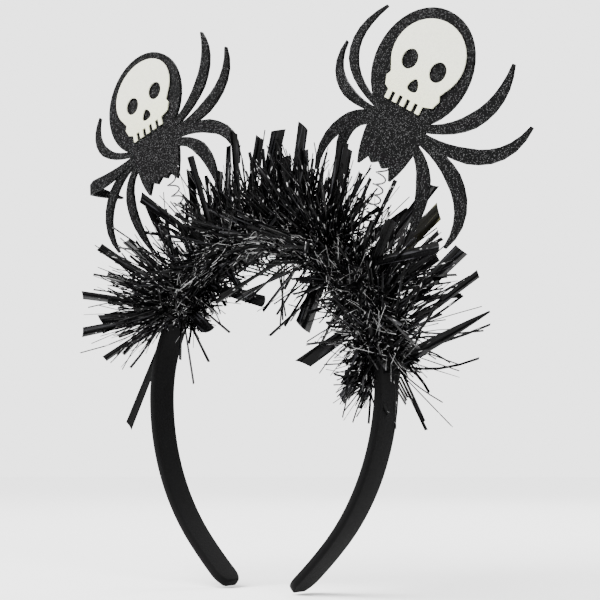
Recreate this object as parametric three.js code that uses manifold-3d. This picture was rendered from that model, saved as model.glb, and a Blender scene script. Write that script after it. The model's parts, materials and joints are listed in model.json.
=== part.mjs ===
// Spider headband: a velvet band wound with black tinsel, and two glitter spiders bobbing on coil springs.
// Millimetres, +Z up, -Y towards the front. The origin is where the crown of the head meets the band.
import * as THREE from 'three';
import { mergeVertices } from 'three/addons/utils/BufferGeometryUtils.js';
import Module from 'manifold-3d';

const wasm = await Module();
wasm.setup();

// Clearance between pieces that touch on the real headband, and the distance within which corners are one
const SEAT_GAP = 0.3;
const MERGE_WITHIN = 1e-4;

// Velvet band: three arcs from the crown down to each tip
const BAND = {
  width: 13.5, thick: 3.6, squareness: 0.45, tipLength: 7, tipBlunt: 0.5,
  tipCrowding: 1.4, rings: 52, sides: 12,
};
const BAND_ARCS = [
  { radius: 64, sweep: 92 },
  { radius: 94, sweep: 42 },
  { radius: 206, sweep: 7.4 },
];

// Tinsel core: a lumpy sleeve round the band, from the left shoulder to the right side
const CORE = {
  from: -60, to: 88, overrun: 2, halfWidth: 10.5, halfThick: 6.5,
  lump: 0.13, lumps: 11, lumpTwist: 2, rings: 24, sides: 12,
};
const FOIL = { thick: 1, rootDepth: 3, rootWidth: 0.7, endOn: 0.5 };

// Wide foil strips that stand out most. Places are degrees along the arch from the crown, around is the
// direction from outward (0) to the front (90), inward (180) and the back (-90), lean is along the arch.
const LONG_STRIPS = [
  { at: -60, around: 10, lean: -86, length: 48, width: 4 },
  { at: -59, around: 58, lean: -56, length: 33, width: 3 },
  { at: -57, around: 42, lean: -38, length: 41, width: 4.5 },
  { at: -54, around: 36, lean: -21, length: 44, width: 4 },
  { at: -50, around: 30, lean: 0, length: 45, width: 4 },
  { at: -50, around: 156, lean: 12, length: 31, width: 6 },
  { at: -36, around: 158, lean: 37, length: 44, width: 5 },
  { at: -22, around: 156, lean: 28, length: 36, width: 4 },
  { at: -20, around: 0, lean: 20, length: 50, width: 4 },
  { at: -12, around: 2, lean: 24, length: 47, width: 4 },
  { at: -4, around: 9, lean: 18, length: 45, width: 6 },
  { at: 4, around: 10, lean: 10, length: 44, width: 4 },
  { at: 12, around: 12, lean: 0, length: 42, width: 6 },
  { at: 22, around: 16, lean: -12, length: 36, width: 4 },
  { at: 10, around: 158, lean: 28, length: 38, width: 3 },
  { at: 36, around: 149, lean: 30, length: 29, width: 7 },
  { at: 50, around: -20, lean: -15, length: 46, width: 5 },
  { at: 54, around: -21, lean: -12, length: 40, width: 6 },
  { at: 60, around: -22, lean: -8, length: 29, width: 7 },
  { at: 66, around: 154, lean: 13, length: 30, width: 6 },
  { at: 70, around: -26, lean: -27, length: 41, width: 6 },
  { at: 76, around: -25, lean: -24, length: 42, width: 3 },
  { at: 78, around: 133, lean: 47, length: 17, width: 4 },
  { at: 84, around: -29, lean: -23, length: 41, width: 5 },
  { at: 82, around: 130, lean: 48, length: 20, width: 4 },
  { at: 87, around: -40, lean: 68, length: 23, width: 3 },
];

// Tufts of strips beside the spiders and across the head space, in the same terms
const TUFTS = [
  { at: -57, around: 70, lean: -20, length: 30, width: 4 },
  { at: -52, around: 14, lean: -14, length: 44, width: 4 },
  { at: -48, around: 5, lean: -2, length: 48, width: 4 },
  { at: -44, around: -1, lean: 10, length: 50, width: 5 },
  { at: -37, around: -8, lean: 22, length: 54, width: 4 },
  { at: -26, around: -12, lean: 14, length: 48, width: 4 },
  { at: 30, around: 12, lean: -6, length: 42, width: 5 },
  { at: 34, around: 20, lean: -4, length: 42, width: 4 },
  { at: 39, around: -40, lean: -2, length: 38, width: 5 },
  { at: 54, around: 18, lean: -10, length: 30, width: 4 },
  { at: 18, around: 156, lean: -40, length: 40, width: 4 },
  { at: 28, around: 152, lean: -30, length: 36, width: 4 },
];

// The other strips fill the wrap all round, shorter inward so that the head space stays clear
const FILL = {
  count: 62, outLength: 25, sideLength: 27, inLength: 9, width: 4.5,
  lean: 28, leanStep: 2.4, springRoom: 15,
};

// Springs: where each stands on the arch, and the wire that it is wound from
const COIL = {
  radius: 2.3, wire: 0.38, wireSides: 5, turns: 14, stepsPerTurn: 8, finer: 4, reach: 17, tightness: 0.55,
  room: 1, roomSides: 10, roomSteps: 14,
};

// Spider plate, laid out flat with x to its right and y to the top of its abdomen, from the waist
const PLATE = { thick: 1.6 };
const ABDOMEN = { aside: -0.7, centre: 17.5, halfWidth: 25, halfHeight: 24.5, segments: 20 };
const THORAX = {
  centre: 1.6, shoulder: 14.5, neckY: 0, sideX: 15.5, sideY: -18, fangX: 9.5, fangY: -28.5,
  mouthY: -23.5, biteDepth: 2, bites: 6, segments: 6,
};
const LEG = { steps: 12, foldRadius: 4, probe: 0.02 };
const LEGS = {
  high: { root: [9, -4.5], rise: [26, -1], bend: [43, 12], tip: [38.5, 34.5] },
  wide: { root: [8, -6], rise: [34, -8], bend: [55.5, -4], tip: [58.5, 16.5] },
  low: { root: [8, -7.5], rise: [34, -8], bend: [54, -20], tip: [49.5, -39] },
  near: { root: [8, -10], rise: [22, -12], bend: [31, -22], tip: [33, -42] },
};
const LEG_WIDTHS = [
  { along: 0, width: 3.4 },
  { along: 0.2, width: 3.6 },
  { along: 0.5, width: 6.2 },
  { along: 0.7, width: 5.4 },
  { along: 0.85, width: 3.6 },
  { along: 1, width: 0.8 },
];

// Skull: a round cranium on a toothed jaw, stuck on the abdomen
const SKULL = { thick: 0.6, centre: 22, halfWidth: 18.8, halfHeight: 15.6, brow: 34, segments: 12 };
const JAW = {
  notchX: 14, notchY: 10.8, cheekX: 15.2, cheekY: 8.8, cornerX: 13.6, cornerY: 5.2, teethAt: -1,
  gapTop: 4, toothEnd: 0.4, teeth: 5, pitch: 4.4, gap: 2.1,
};
const EYE = { x: 8, y: 18.6, radius: 4.15 };
const NOSE = { top: 14.4, base: 7.1, side: 4.3, segments: 5 };

// How each spider sits: the waist's place at the back of the plate, its lean to the right, the spring's
// foot on the arch, its top on the thorax, and how each leg is bent from the flat pattern: its tip inward,
// down and back, its middle bowed outward, its width. One leg is folded back part of the way.
const SPIDERS = [
  {
    name: 'left',
    waist: [-59.5, -13.2, 59.2],
    lean: -15.8,
    springAt: -31,
    springTop: [2.5, -15],
    skullShift: [0.5, 0.3],
    legs: [
      { leg: 'high', side: -1, inward: -2.8, down: 1.7, back: 9, bow: 1.4, width: 0.75 },
      { leg: 'wide', side: -1, inward: 0, down: 11, back: 0, bow: 1, width: 1, fold: 0.6 },
      { leg: 'low', side: -1, inward: 6.5, down: 2, back: 8, bow: -2, width: 0.9 },
      { leg: 'near', side: -1, inward: 11, down: 8, back: 10, bow: 0, width: 0.85 },
      { leg: 'high', side: 1, inward: -4, down: 3, back: 0, bow: 1.9, width: 1 },
      { leg: 'wide', side: 1, inward: 4, down: 0, back: 0, bow: -0.5, width: 1 },
      { leg: 'low', side: 1, inward: 2, down: -0.5, back: 0, bow: -0.5, width: 1 },
      { leg: 'near', side: 1, inward: -0.5, down: 0, back: 0, bow: 1.2, width: 1 },
    ],
  },
  {
    name: 'right',
    waist: [69.7, 6.3, 49],
    lean: 35,
    springAt: 45,
    springTop: [1.5, -17],
    skullShift: [1.1, 0],
    legs: [
      { leg: 'high', side: -1, inward: 1.7, down: 0.5, back: 6, bow: 5.2, width: 0.75 },
      { leg: 'wide', side: -1, inward: 6, down: 3.5, back: 10, bow: -4.5, width: 0.8 },
      { leg: 'low', side: -1, inward: 11.8, down: 3, back: 12, bow: -8.8, width: 1 },
      { leg: 'near', side: -1, inward: 10, down: -4, back: 12, bow: 0, width: 0.9 },
      { leg: 'high', side: 1, inward: 0, down: 0.5, back: 0, bow: 1.6, width: 1 },
      { leg: 'wide', side: 1, inward: -0.4, down: 0, back: 0, bow: 0.8, width: 1 },
      { leg: 'low', side: 1, inward: -0.6, down: 0, back: 0, bow: 1.2, width: 1 },
      { leg: 'near', side: 1, inward: 0.6, down: 0, back: 0, bow: 0, width: 1 },
    ],
  },
];

// Finishes read from the photograph
const VELVET = new THREE.MeshStandardMaterial({ color: 0x1f1f21, roughness: 0.95, metalness: 0 });
const TINSEL = new THREE.MeshStandardMaterial({ color: 0x0d0d0e, roughness: 0.25, metalness: 0.4 });
const WIRE = new THREE.MeshStandardMaterial({ color: 0x77777a, roughness: 0.35, metalness: 1 });
const BLACK_GLITTER = new THREE.MeshStandardMaterial({ color: 0x29292b, roughness: 0.6, metalness: 0.2 });
const IVORY_GLITTER = new THREE.MeshStandardMaterial({ color: 0xe2e2da, roughness: 0.7, metalness: 0 });

const radians = THREE.MathUtils.degToRad;
const FRONT = new THREE.Vector3(0, -1, 0);
const BACK = new THREE.Vector3(0, 1, 0);
const UP = new THREE.Vector3(0, 0, 1);
// The way that most strips turn their flat side: to the front and the wearer's left
const FACING = new THREE.Vector3(0.64, -0.77, 0);
const ARCH_HALF = BAND_ARCS.reduce((sum, arc) => sum + arc.radius * radians(arc.sweep), 0);

// Millimetres along the arch for an angle of its top arc
function alongArch(degrees) {
  return BAND_ARCS[0].radius * radians(degrees);
}

// The point, outward direction and forward direction of the band's centre line, by distance from the crown
function archAt(distance) {
  const side = distance < 0 ? -1 : 1;
  const point = new THREE.Vector3(0, 0, BAND.thick / 2);
  let left = Math.abs(distance);
  let angle = 0;
  for (const { radius, sweep } of BAND_ARCS) {
    const turned = angle + Math.min(left / radius, radians(sweep));
    point.x += side * radius * (Math.sin(turned) - Math.sin(angle));
    point.z += radius * (Math.cos(turned) - Math.cos(angle));
    left = Math.max(0, left - radius * (turned - angle));
    angle = turned;
  }
  const out = new THREE.Vector3(side * Math.sin(angle), 0, Math.cos(angle));
  const along = new THREE.Vector3(Math.cos(angle), 0, -side * Math.sin(angle));
  return { point: point.addScaledVector(along, side * left), out, along };
}

// Every vertex of a geometry moved to where the place function puts it
function reshape(geometry, place) {
  const bare = new THREE.BufferGeometry();
  const moved = geometry.attributes.position.clone();
  const vertex = new THREE.Vector3();
  for (let i = 0; i < moved.count; i += 1) {
    const to = place(vertex.fromBufferAttribute(moved, i));
    moved.setXYZ(i, to.x, to.y, to.z);
  }
  bare.setAttribute('position', moved);
  if (geometry.index) bare.setIndex(geometry.index);
  return bare;
}

// A closed geometry as a solid for cutting and joining
function solid(geometry) {
  const bare = geometry.clone();
  bare.deleteAttribute('normal');
  bare.deleteAttribute('uv');
  const merged = mergeVertices(bare, MERGE_WITHIN);
  const mesh = new wasm.Mesh({
    numProp: 3,
    vertProperties: new Float32Array(merged.attributes.position.array),
    triVerts: new Uint32Array(merged.index.array),
  });
  return new wasm.Manifold(mesh);
}

// A solid as a mesh with flat shading
function piece(name, body, material) {
  const { vertProperties, triVerts } = body.getMesh();
  const geometry = new THREE.BufferGeometry();
  geometry.setAttribute('position', new THREE.BufferAttribute(vertProperties, 3));
  geometry.setIndex(new THREE.BufferAttribute(triVerts, 1));
  geometry.computeVertexNormals();
  const mesh = new THREE.Mesh(geometry, material);
  mesh.name = name;
  return mesh;
}

function joined(bodies) {
  return bodies.reduce((whole, body) => whole.add(body));
}

// A closed tube round the arch. Section gives the front and outward offsets at a distance, for a point of
// the unit circle.
function archTube({ rings, sides }, distanceAt, section) {
  return reshape(new THREE.CylinderGeometry(1, 1, 2, sides, rings), ({ x, y, z }) => {
    const distance = distanceAt(y);
    const { point, out } = archAt(distance);
    const offset = section(distance, x, z);
    return point.addScaledVector(FRONT, offset.front).addScaledVector(out, offset.out);
  });
}

// The band's rounded rectangle, grown by a margin
function bandSection(x, z, margin) {
  const squared = (value) => Math.sign(value) * Math.abs(value) ** BAND.squareness;
  return {
    front: squared(x) * (BAND.width / 2 + margin),
    out: squared(z) * (BAND.thick / 2 + margin),
  };
}

function velvetBand() {
  const crowding = BAND.tipCrowding;
  const distanceAt = (y) => (ARCH_HALF * Math.sin(y * crowding)) / Math.sin(crowding);
  const tube = archTube(BAND, distanceAt, (distance, x, z) => {
    const intoTip = Math.max(0, Math.abs(distance) - ARCH_HALF + BAND.tipLength) / BAND.tipLength;
    const narrowed = Math.max(BAND.tipBlunt, Math.sqrt(1 - Math.min(1, intoTip) ** 2));
    const { front, out } = bandSection(x, z, 0);
    return { front: front * narrowed, out };
  });
  return solid(tube);
}

function tinselCore() {
  const middle = (CORE.from + CORE.to) / 2;
  const half = (CORE.to - CORE.from) / 2;
  const sleeve = archTube(CORE, (y) => alongArch(middle + y * half), (distance, x, z) => {
    const share = distance / alongArch(half);
    const swell = 1 + CORE.lump * Math.sin(CORE.lumps * share * Math.PI + CORE.lumpTwist * x);
    return { front: x * CORE.halfWidth * swell, out: z * CORE.halfThick * swell };
  });
  const bandRoom = archTube(CORE, (y) => alongArch(middle + y * (half + CORE.overrun)), (distance, x, z) =>
    bandSection(x, z, SEAT_GAP));
  return solid(sleeve).subtract(solid(bandRoom));
}

// A box one unit each way, cut into steps along z from 0 to 1
function unitStrip(steps) {
  return new THREE.BoxGeometry(1, 1, 1, 1, 1, steps).translate(0, 0, 0.5);
}

// One foil strip, from inside the core out to its square end
function foilStrip({ at, around, lean, length, width }) {
  const { point, out, along } = archAt(alongArch(at));
  const turn = radians(around);
  const away = out.clone().multiplyScalar(Math.cos(turn)).addScaledVector(FRONT, Math.sin(turn));
  const coreReach = Math.hypot(CORE.halfThick * Math.cos(turn), CORE.halfWidth * Math.sin(turn));
  const root = point.addScaledVector(away, coreReach - FOIL.rootDepth);
  const slope = radians(lean);
  const course = away.multiplyScalar(Math.cos(slope)).addScaledVector(along, Math.sin(slope));
  const across = new THREE.Vector3().crossVectors(course, FACING);
  if (across.length() < FOIL.endOn) across.crossVectors(course, UP);
  across.normalize();
  const through = new THREE.Vector3().crossVectors(course, across);
  return solid(reshape(unitStrip(1), ({ x, y, z }) => {
    const wide = width * THREE.MathUtils.lerp(FOIL.rootWidth, 1, z);
    return root.clone()
      .addScaledVector(course, length * z)
      .addScaledVector(across, x * wide)
      .addScaledVector(through, y * FOIL.thick);
  }));
}

// The strips between the long ones, spread evenly by golden-ratio steps and turned aside from the springs
function fillRows() {
  const golden = (Math.sqrt(5) - 1) / 2;
  const rows = [];
  for (let i = 0; i < FILL.count; i += 1) {
    const at = THREE.MathUtils.lerp(CORE.from, CORE.to, (i + 0.5) / FILL.count);
    const nearSpring = SPIDERS.some(({ springAt }) => Math.abs(at - springAt) < FILL.springRoom);
    const spin = 360 * ((i * golden) % 1);
    const around = nearSpring ? 90 + spin / 2 : spin;
    const outward = Math.cos(radians(around));
    const farthest = outward > 0 ? FILL.outLength : FILL.inLength;
    const length = THREE.MathUtils.lerp(FILL.sideLength, farthest, Math.abs(outward));
    const lean = FILL.lean * Math.sin(i * FILL.leanStep);
    rows.push({ at, around, lean, length, width: FILL.width });
  }
  return rows;
}

// The spring's axis, from the band's outer face, or some way below it, to the back of the thorax
function springAxis(spider, below = 0) {
  const foot = archAt(alongArch(spider.springAt));
  const clear = BAND.thick / 2 + SEAT_GAP + COIL.wire - below;
  const start = foot.point.clone().addScaledVector(foot.out, clear);
  const [topX, topY] = spider.springTop;
  const behind = COIL.radius + COIL.wire + SEAT_GAP;
  const tilt = new THREE.Euler(0, radians(spider.lean), 0);
  const waist = new THREE.Vector3(...spider.waist);
  const end = new THREE.Vector3(topX, behind, topY).applyEuler(tilt).add(waist);
  const upwards = UP.clone().applyEuler(tilt);
  return new THREE.CubicBezierCurve3(
    start,
    start.clone().addScaledVector(foot.out, COIL.reach),
    end.clone().addScaledVector(upwards, -COIL.reach),
    end,
  );
}

// A helix about the axis, wound closer at the band than at the spider
class CoilCurve extends THREE.Curve {
  constructor(axis) {
    super();
    this.axis = axis;
    this.arcLengthDivisions = COIL.turns * COIL.stepsPerTurn * COIL.finer;
  }

  getPoint(share, target = new THREE.Vector3()) {
    const tangent = this.axis.getTangentAt(share);
    const sideways = new THREE.Vector3().crossVectors(tangent, FRONT).normalize();
    const forwards = new THREE.Vector3().crossVectors(sideways, tangent);
    const wound = share + COIL.tightness * share * (1 - share);
    const turn = 2 * Math.PI * COIL.turns * wound;
    return target.copy(this.axis.getPointAt(share))
      .addScaledVector(sideways, COIL.radius * Math.cos(turn))
      .addScaledVector(forwards, COIL.radius * Math.sin(turn));
  }
}

function roundShape(radius, sides) {
  const points = [];
  for (let i = 0; i < sides; i += 1) {
    const angle = (2 * Math.PI * i) / sides;
    points.push(new THREE.Vector2(radius * Math.cos(angle), radius * Math.sin(angle)));
  }
  return new THREE.Shape(points);
}

function coilSpring(spider) {
  const wire = new THREE.ExtrudeGeometry(roundShape(COIL.wire, COIL.wireSides), {
    steps: COIL.turns * COIL.stepsPerTurn,
    extrudePath: new CoilCurve(springAxis(spider)),
    bevelEnabled: false,
  });
  return solid(wire);
}

// The room that a spring needs in the tinsel core
function coilRoom(spider) {
  const tube = new THREE.ExtrudeGeometry(roundShape(COIL.radius + COIL.wire + COIL.room, COIL.roomSides), {
    steps: COIL.roomSteps,
    extrudePath: springAxis(spider, BAND.thick),
    bevelEnabled: false,
  });
  return solid(tube);
}

// A flat outline as a plate that faces the front, its back on the XZ plane
function plate(shape, thick, curveSegments) {
  const slab = new THREE.ExtrudeGeometry(shape, { depth: thick, bevelEnabled: false, curveSegments });
  return solid(slab.rotateX(Math.PI / 2));
}

function abdomenPlate() {
  const oval = new THREE.Shape();
  oval.absellipse(ABDOMEN.aside, ABDOMEN.centre, ABDOMEN.halfWidth, ABDOMEN.halfHeight, 0, 2 * Math.PI);
  return plate(oval, PLATE.thick, ABDOMEN.segments);
}

// Thorax with a fang at each side of a jagged mouth
function thoraxPlate() {
  const { centre, shoulder, neckY, sideX, sideY, fangX, fangY } = THORAX;
  const { mouthY, biteDepth, bites, segments } = THORAX;
  const outline = new THREE.Shape();
  outline.moveTo(centre - shoulder, neckY);
  outline.quadraticCurveTo(centre - sideX, sideY, centre - fangX, fangY);
  for (let i = 1; i < bites; i += 1) {
    const x = THREE.MathUtils.lerp(-fangX, fangX, i / bites);
    outline.lineTo(centre + x, mouthY + (i % 2 ? 0 : -biteDepth));
  }
  outline.lineTo(centre + fangX, fangY);
  outline.quadraticCurveTo(centre + sideX, sideY, centre + shoulder, neckY);
  return plate(outline, PLATE.thick, segments);
}

function legWidth(share) {
  const next = Math.max(1, LEG_WIDTHS.findIndex((row) => row.along >= share));
  const before = LEG_WIDTHS[next - 1];
  const after = LEG_WIDTHS[next];
  const part = (share - before.along) / (after.along - before.along);
  return THREE.MathUtils.lerp(before.width, after.width, part);
}

// The centre line of a leg: bent from the flat pattern, and from a fold on turned straight back
function legCentre({ leg, inward, down, back, bow, fold = 1 }) {
  const { root, rise, bend, tip } = LEGS[leg];
  const flat = ([x, y]) => new THREE.Vector3(x, 0, y);
  const curve = new THREE.CubicBezierCurve3(flat(root), flat(rise), flat(bend), flat(tip));
  const length = curve.getLength();
  const unfolded = (share) => {
    const bent = share * share;
    const bowed = bow * Math.sin(Math.PI * share);
    return curve.getPointAt(share).add(new THREE.Vector3(bowed - inward * bent, back * bent, -down * bent));
  };
  return (share) => {
    if (share <= fold) return unfolded(share);
    const course = unfolded(fold).sub(unfolded(fold - LEG.probe)).normalize();
    const past = (share - fold) * length;
    const turn = Math.min(past / LEG.foldRadius, Math.PI / 2);
    const straight = past - turn * LEG.foldRadius;
    return unfolded(fold)
      .addScaledVector(course, LEG.foldRadius * Math.sin(turn))
      .addScaledVector(BACK, LEG.foldRadius * (1 - Math.cos(turn)) + straight);
  };
}

// One leg: a tapered strip of the plate's thickness along its centre line, on one side of the spider
function legStrip(row) {
  const centre = legCentre(row);
  const fold = row.fold ?? 1;
  return solid(reshape(unitStrip(LEG.steps), ({ x, y, z }) => {
    const course = centre(Math.min(z + LEG.probe, 1)).sub(centre(Math.max(z - LEG.probe, 0))).normalize();
    const flatFrom = centre(Math.max(Math.min(z, fold) - LEG.probe, 0));
    const flatCourse = centre(Math.min(z + LEG.probe, fold)).sub(flatFrom);
    const across = new THREE.Vector3().crossVectors(BACK, flatCourse).normalize();
    const through = new THREE.Vector3().crossVectors(course, across);
    const spot = centre(z)
      .addScaledVector(across, row.side * x * row.width * legWidth(z))
      .addScaledVector(through, (y - 0.5) * PLATE.thick);
    spot.x *= row.side;
    return spot;
  }));
}

function spiderPlate(spider) {
  return joined([abdomenPlate(), thoraxPlate(), ...spider.legs.map(legStrip)]);
}

// The jaw's lower edge runs from right to left, down and up round each tooth
function jawPath(outline) {
  const { notchX, notchY, cheekX, cheekY, cornerX, cornerY } = JAW;
  const { teethAt, gapTop, toothEnd, teeth, pitch, gap } = JAW;
  outline.lineTo(notchX, notchY);
  outline.lineTo(cheekX, cheekY);
  outline.lineTo(cornerX, cornerY);
  for (let i = 0; i < teeth; i += 1) {
    const middle = teethAt + pitch * ((teeth - 1) / 2 - i);
    const half = (pitch - gap) / 2;
    outline.lineTo(middle + half, gapTop);
    outline.lineTo(middle + half, toothEnd);
    outline.lineTo(middle - half, toothEnd);
    outline.lineTo(middle - half, gapTop);
  }
  outline.lineTo(-cornerX, cornerY);
  outline.lineTo(-cheekX, cheekY);
  outline.lineTo(-notchX, notchY);
}

// A triangle with each corner rounded from the middle of one side to the middle of the next
function noseHole() {
  const corners = [[0, NOSE.top], [-NOSE.side, NOSE.base], [NOSE.side, NOSE.base]];
  const middle = ([x, y], [nextX, nextY]) => [(x + nextX) / 2, (y + nextY) / 2];
  const hole = new THREE.Path();
  hole.moveTo(...middle(corners[2], corners[0]));
  corners.forEach((corner, i) => {
    hole.quadraticCurveTo(...corner, ...middle(corner, corners[(i + 1) % corners.length]));
  });
  return new THREE.Path(hole.getPoints(NOSE.segments));
}

function skullPlate() {
  const { centre, halfWidth, halfHeight, brow, segments } = SKULL;
  const outline = new THREE.Shape();
  const from = radians(180 + brow);
  const to = radians(-brow);
  outline.absellipse(0, centre, halfWidth, halfHeight, from, to, true);
  jawPath(outline);
  outline.closePath();
  for (const side of [-1, 1]) {
    const eye = new THREE.Path();
    eye.absellipse(side * EYE.x, EYE.y, EYE.radius, EYE.radius, 0, 2 * Math.PI);
    outline.holes.push(eye);
  }
  outline.holes.push(noseHole());
  return plate(outline, SKULL.thick, segments);
}

// A spider and its skull, leaning as one
function spiderGroup(spider) {
  const group = new THREE.Group();
  const [shiftX, shiftY] = spider.skullShift;
  const skull = piece(`skull_${spider.name}`, skullPlate(), IVORY_GLITTER);
  skull.position.set(shiftX, -PLATE.thick - SEAT_GAP, shiftY);
  group.add(piece(`spider_${spider.name}`, spiderPlate(spider), BLACK_GLITTER), skull);
  group.position.set(...spider.waist);
  group.rotation.y = radians(spider.lean);
  return group;
}

function tinselGarland() {
  const core = SPIDERS.reduce((body, spider) => body.subtract(coilRoom(spider)), tinselCore());
  return joined([core, ...[...LONG_STRIPS, ...TUFTS, ...fillRows()].map(foilStrip)]);
}

const headband = new THREE.Group();
headband.add(piece('velvet_band', velvetBand(), VELVET));
headband.add(piece('tinsel_garland', tinselGarland(), TINSEL));
for (const spider of SPIDERS) {
  headband.add(piece(`spring_${spider.name}`, coilSpring(spider), WIRE));
  headband.add(spiderGroup(spider));
}

export default headband;
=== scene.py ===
"""Spider headband: a velvet band wound with black tinsel, with glitter spiders on springs."""

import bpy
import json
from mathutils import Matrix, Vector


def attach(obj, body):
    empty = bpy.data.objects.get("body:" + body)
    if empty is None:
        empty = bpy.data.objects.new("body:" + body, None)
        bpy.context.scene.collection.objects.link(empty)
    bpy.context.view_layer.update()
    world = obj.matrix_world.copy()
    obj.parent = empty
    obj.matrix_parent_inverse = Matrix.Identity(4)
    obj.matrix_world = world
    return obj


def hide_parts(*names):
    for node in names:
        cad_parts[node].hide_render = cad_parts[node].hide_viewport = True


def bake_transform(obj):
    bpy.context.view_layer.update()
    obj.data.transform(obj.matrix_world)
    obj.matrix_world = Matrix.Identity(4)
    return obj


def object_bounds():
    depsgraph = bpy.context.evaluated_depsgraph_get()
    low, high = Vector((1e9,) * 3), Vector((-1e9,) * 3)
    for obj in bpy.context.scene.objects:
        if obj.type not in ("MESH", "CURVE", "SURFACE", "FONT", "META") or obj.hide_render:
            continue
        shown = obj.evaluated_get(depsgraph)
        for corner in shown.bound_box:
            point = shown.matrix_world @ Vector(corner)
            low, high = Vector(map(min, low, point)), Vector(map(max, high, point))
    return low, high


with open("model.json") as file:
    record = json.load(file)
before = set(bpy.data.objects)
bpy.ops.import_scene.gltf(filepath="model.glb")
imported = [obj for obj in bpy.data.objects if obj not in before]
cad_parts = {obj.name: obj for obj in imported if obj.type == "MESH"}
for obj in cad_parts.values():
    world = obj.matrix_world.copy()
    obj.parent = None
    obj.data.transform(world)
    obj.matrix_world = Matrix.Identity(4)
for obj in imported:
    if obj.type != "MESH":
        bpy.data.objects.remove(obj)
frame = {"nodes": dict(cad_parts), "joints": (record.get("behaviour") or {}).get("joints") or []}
CAD_BOX = [list(corner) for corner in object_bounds()]

import json
import math

import bpy
import numpy as np
from bpy.props import FloatProperty, FloatVectorProperty, IntProperty, PointerProperty
from mathutils import Matrix, Vector
from mathutils.bvhtree import BVHTree

bl_info = {
    "name": "Spider headband",
    "version": (1, 0, 0),
    "blender": (4, 5, 0),
    "location": "View3D > Sidebar > Headband",
    "description": "Builds a velvet hair band with a tinsel garland and two bobbing spiders",
    "category": "Add Mesh",
}

MM = 0.001
GOLDEN = (math.sqrt(5) - 1) / 2
WHITE = (1.0, 1.0, 1.0, 1.0)
LAY = "lay"
FRONT = np.array([0.0, -1.0, 0.0])
UP = np.array([0.0, 0.0, 1.0])
# The way that most strips turn their flat side, to the front and the wearer's left, and how near
# to it a strip may run before it turns its flat side upwards
FACING = np.array([0.64, -0.77, 0.0])
EDGE_ON = 0.5

# The band's centre line from the crown to a tip: three arcs, each with its steps in the swept band
BAND_ARCS = [
    {"radius": 64 * MM, "sweep": math.radians(92), "steps": 46},
    {"radius": 94 * MM, "sweep": math.radians(42), "steps": 22},
    {"radius": 206 * MM, "sweep": math.radians(7.4), "steps": 6},
]
# Half the band's thickness, so the height of its centre line at the crown
CROWN_HEIGHT = 1.8 * MM
ARCH_CENTRE = (0, 0, CROWN_HEIGHT - BAND_ARCS[0]["radius"])
# How each end of the band narrows, and how its rim is rounded
TIP = {"steps": 7, "narrowing": 0.87, "rim": 0.8 * MM, "rim_segments": 3}
# What glued pieces keep clear of each other
SEAT_GAP = 0.3 * MM
# Points that the line of a spring is measured by, and places that a spider is tried at as it bobs
LINE_POINTS = 400
BOB_PLACES = 9

# The tinsel's dense middle, in degrees along the arch and half sizes across it, and how deep the
# strips root in it
CORE = {
    "from": -60.0,
    "to": 88.0,
    "half_width": 10.5 * MM,
    "half_thick": 6.5 * MM,
    "root_depth": 3 * MM,
}
# The sleeve's mesh: points round it, steps along it, its share of the core's size, and what each
# step of its ends narrows to
SLEEVE = {"sides": 28, "steps": 110, "share": 0.95, "narrowing": (0.96, 0.94, 0.96)}
CRUMPLE = {"size": 5 * MM, "depth": 2, "height": 3 * MM, "level": 0.6}


def strip(at, around, lean, length, width=0.0, **more):
    """One strip of the tinsel.

    Its place along the arch, its direction round it from outward (0) to the front (90) and inward
    (180) and its lean along it are in degrees. Its length and width are in millimetres in the lists
    below, where a row that only leads other strands has no width.
    """
    row = {"at": at, "around": around, "lean": lean, "length": length, "width": width}
    return {**row, **more}


# Wide foil strips that stand out of the tinsel
LONG_STRIPS = [
    strip(-60, 10, -90, 55, 4, twist=0.2),
    strip(-59, 58, -56, 33, 3),
    strip(-57, 42, -38, 41, 4.5),
    strip(-54, 36, -21, 44, 4),
    strip(-50, 30, 0, 45, 4),
    strip(-50, 156, 12, 31, 6, twist=0.3),
    strip(-36, 161, 36, 53, 5, twist=0.1),
    strip(-22, 156, 28, 36, 4, slivers=2),
    strip(-20, 0, 20, 50, 4),
    strip(-12, 2, 27, 47, 4),
    strip(-4, 9, 27, 47, 6),
    strip(4, 10, 10, 40, 4),
    strip(12, 12, 9, 46, 5),
    strip(22, 16, -12, 36, 4),
    strip(10, 158, 28, 38, 3, slivers=3),
    strip(36, 149, 30, 29, 7, twist=0.3),
    strip(50, -20, -15, 46, 5),
    strip(54, -21, -12, 40, 6, olive=True),
    strip(60, -22, -8, 29, 7),
    strip(66, 154, 13, 30, 6),
    strip(70, -26, -27, 41, 6),
    strip(76, -25, -24, 42, 3),
    strip(78, 133, 47, 17, 4),
    strip(84, -29, -23, 41, 5, point=0.15),
    strip(82, 130, 48, 20, 4),
    strip(87, -40, 68, 23, 3, slivers=2),
]
# Tufts of strips beside the spiders and across the head space
TUFTS = [
    strip(-57, 70, -20, 30, 4),
    strip(-52, 14, -14, 44, 4),
    strip(-48, 5, -2, 48, 4),
    strip(-44, -1, 10, 50, 5),
    strip(-37, -8, 22, 54, 4),
    strip(-26, -12, 14, 48, 4),
    strip(30, 12, -6, 42, 5),
    strip(34, 20, -4, 42, 4),
    strip(39, -40, -2, 38, 5),
    strip(54, 18, -10, 30, 4),
    strip(18, 156, -40, 40, 4, slivers=2),
    strip(28, 152, -30, 36, 4, slivers=3),
]
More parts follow.
